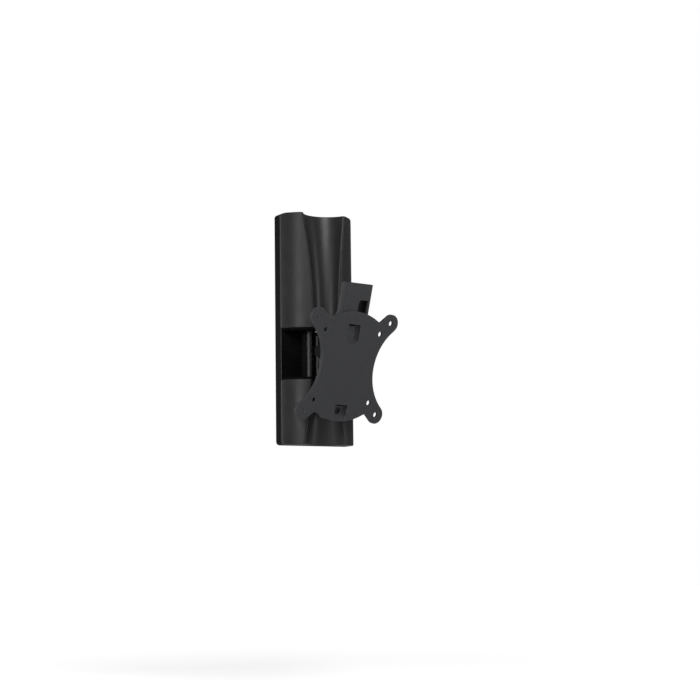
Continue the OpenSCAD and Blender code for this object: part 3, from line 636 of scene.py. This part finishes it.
SCREWS = screw_tree()
joined(grown("surround screws", SCREWS, ZINC, {
    "Spread X": 2 * LEDGE_X * MM, "Spread Z": (TOP - LOW - 2 * SCREW_FROM_END) * MM,
    "Middle Z": MIDDLE * MM, "Seat depth": LEDGE_FRONT * MM,
    "Head radius": SCREW_HEAD_R * MM, "Head height": SCREW_HEAD_H * MM,
    "Shank radius": SCREW_R * MM, "Shank length": SCREW_LENGTH * MM}),
    "column", "zinc", "surround_screws")
joined(grown("shroud screws", SCREWS, ZINC, {
    "Spread X": 2 * POST_X * MM, "Spread Z": 2 * (HALF_BAND + POST_FROM_BAND) * MM,
    "Middle Z": 0, "Seat depth": (COVER_BACK + SHROUD_WALL) * MM,
    "Head radius": POST_SCREW_HEAD_R * MM, "Head height": SCREW_HEAD_H * MM,
    "Shank radius": POST_SCREW_R * MM, "Shank length": POST_SCREW_LENGTH * MM}),
    "column", "zinc", "shroud_screws")

BOLT_END = Matrix.Translation(((CHANNEL_SIDE + SPRING_STACK + NUT_T) * MM, -REACH * MM, 0))
joined(grown("cross bolt thread", thread_tree(), OXIDE, {
    "Radius": THREAD_R * MM, "Pitch": THREAD_PITCH * MM, "Turns": THREAD_TURNS,
    "Ridge": THREAD_RIDGE * MM},
    TO_PIN @ BOLT_END @ Matrix.Rotation(math.pi / 2, 4, "Y")), "arm", "black_screw")


# Light, floor and camera, in metres

CENTRE = (0, -0.03, 0.02)
FLOOR_Z = -0.36
FLOOR_HALF = 3.0
AMBIENT = 0.1
MIRRORED = 0.12
EYE = (-0.8438, -1.5456, -0.2045)
TURNED = math.radians(30)
RISE = math.asin(0.1194)
ROLL = math.radians(-0.73)
FOCAL_PX = 1629
FRAME_PX = 700
SENSOR_MM = 36


def make_world():
    """White to the camera and through glass, and a faint glow in reflections and on the object."""
    world = bpy.data.worlds.new("studio")
    world.use_nodes = True
    tree = world.node_tree
    back = tree.nodes["Background"]
    back.inputs["Color"].default_value = (1, 1, 1, 1)
    path = put(tree, "ShaderNodeLightPath")
    level = scaled(tree, path.outputs["Is Glossy Ray"], MIRRORED)
    for other in (path.outputs["Is Camera Ray"], path.outputs["Is Transmission Ray"], AMBIENT):
        level = put(tree, "ShaderNodeMath", {0: level, 1: other}, operation="MAXIMUM").outputs[0]
    tree.links.new(level, back.inputs["Strength"])
    bpy.context.scene.world = world


def make_floor():
    """A pale floor that keeps the object's shadow and turns white away from it."""
    bm = bmesh.new()
    corners = [(-FLOOR_HALF, -FLOOR_HALF), (FLOOR_HALF, -FLOOR_HALF), (FLOOR_HALF, FLOOR_HALF),
               (-FLOOR_HALF, FLOOR_HALF)]
    bm.faces.new([bm.verts.new((x, y, FLOOR_Z)) for x, y in corners])
    material = bpy.data.materials.new("pale floor")
    material.use_nodes = True
    tree = material.node_tree
    shader = tree.nodes["Principled BSDF"]
    shader.inputs["Base Color"].default_value = (0.85, 0.85, 0.85, 1)
    shader.inputs["Roughness"].default_value = 0.8
    shader.inputs["Emission Color"].default_value = (1, 1, 1, 1)
    path = put(tree, "ShaderNodeLightPath")
    place = put(tree, "ShaderNodeNewGeometry").outputs["Position"]
    away = put(tree, "ShaderNodeVectorMath", {0: place}, operation="LENGTH")
    glow = put(tree, "ShaderNodeMapRange", {"Value": away.outputs["Value"], "From Min": 0.6,
                                            "From Max": 1.8, "To Min": 0.6, "To Max": 1.0})
    lift = put(tree, "ShaderNodeMath", {0: path.outputs["Is Camera Ray"], 1: glow.outputs[0]},
               operation="MULTIPLY")
    tree.links.new(lift.outputs[0], shader.inputs["Emission Strength"])
    mesh_object("floor", bm, material)


def softbox(name, place, size, watts):
    """A rectangular lamp that faces the mount."""
    lamp = bpy.data.lights.new(name, "AREA")
    lamp.shape = "RECTANGLE"
    lamp.size, lamp.size_y = size
    lamp.energy = watts
    holder = bpy.data.objects.new(name, lamp)
    turn = (Vector(CENTRE) - Vector(place)).to_track_quat("-Z", "Y").to_matrix().to_4x4()
    holder.matrix_world = Matrix.Translation(place) @ turn
    bpy.context.scene.collection.objects.link(holder)


def make_camera():
    """The photograph's view, from a fit to the screw holes and the column's corners."""
    forward = Vector((math.sin(TURNED) * math.cos(RISE), math.cos(TURNED) * math.cos(RISE),
                      math.sin(RISE)))
    level = Vector((math.cos(TURNED), -math.sin(TURNED), 0))
    upright = level.cross(forward)
    right = level * math.cos(ROLL) + upright * math.sin(ROLL)
    up = -level * math.sin(ROLL) + upright * math.cos(ROLL)
    lens = bpy.data.cameras.new("camera")
    lens.sensor_width = SENSOR_MM
    lens.lens = FOCAL_PX / FRAME_PX * SENSOR_MM
    lens.clip_start = 0.01
    eye = bpy.data.objects.new("camera", lens)
    turn = Matrix((right, up, -forward)).transposed().to_4x4()
    eye.matrix_world = Matrix.Translation(EYE) @ turn
    bpy.context.scene.collection.objects.link(eye)
    bpy.context.scene.camera = eye


make_world()
make_floor()
make_camera()
softbox("overhead softbox", place=(-0.3, -1.6, 1.4), size=(1.0, 1.0), watts=27)
softbox("left softbox", place=(-1.32, -1.5, 0.1), size=(0.5, 1.4), watts=9.5)
softbox("front fill", place=(-0.68, -1.88, 0.1), size=(0.52, 1.4), watts=2.5)
softbox("side strip", place=(-1.9, 0.6, 0.1), size=(1.0, 1.4), watts=18)
softbox("right fill", place=(1.65, -1.1, 0.1), size=(0.5, 1.4), watts=7)
bpy.context.scene.view_settings.view_transform = "Standard"
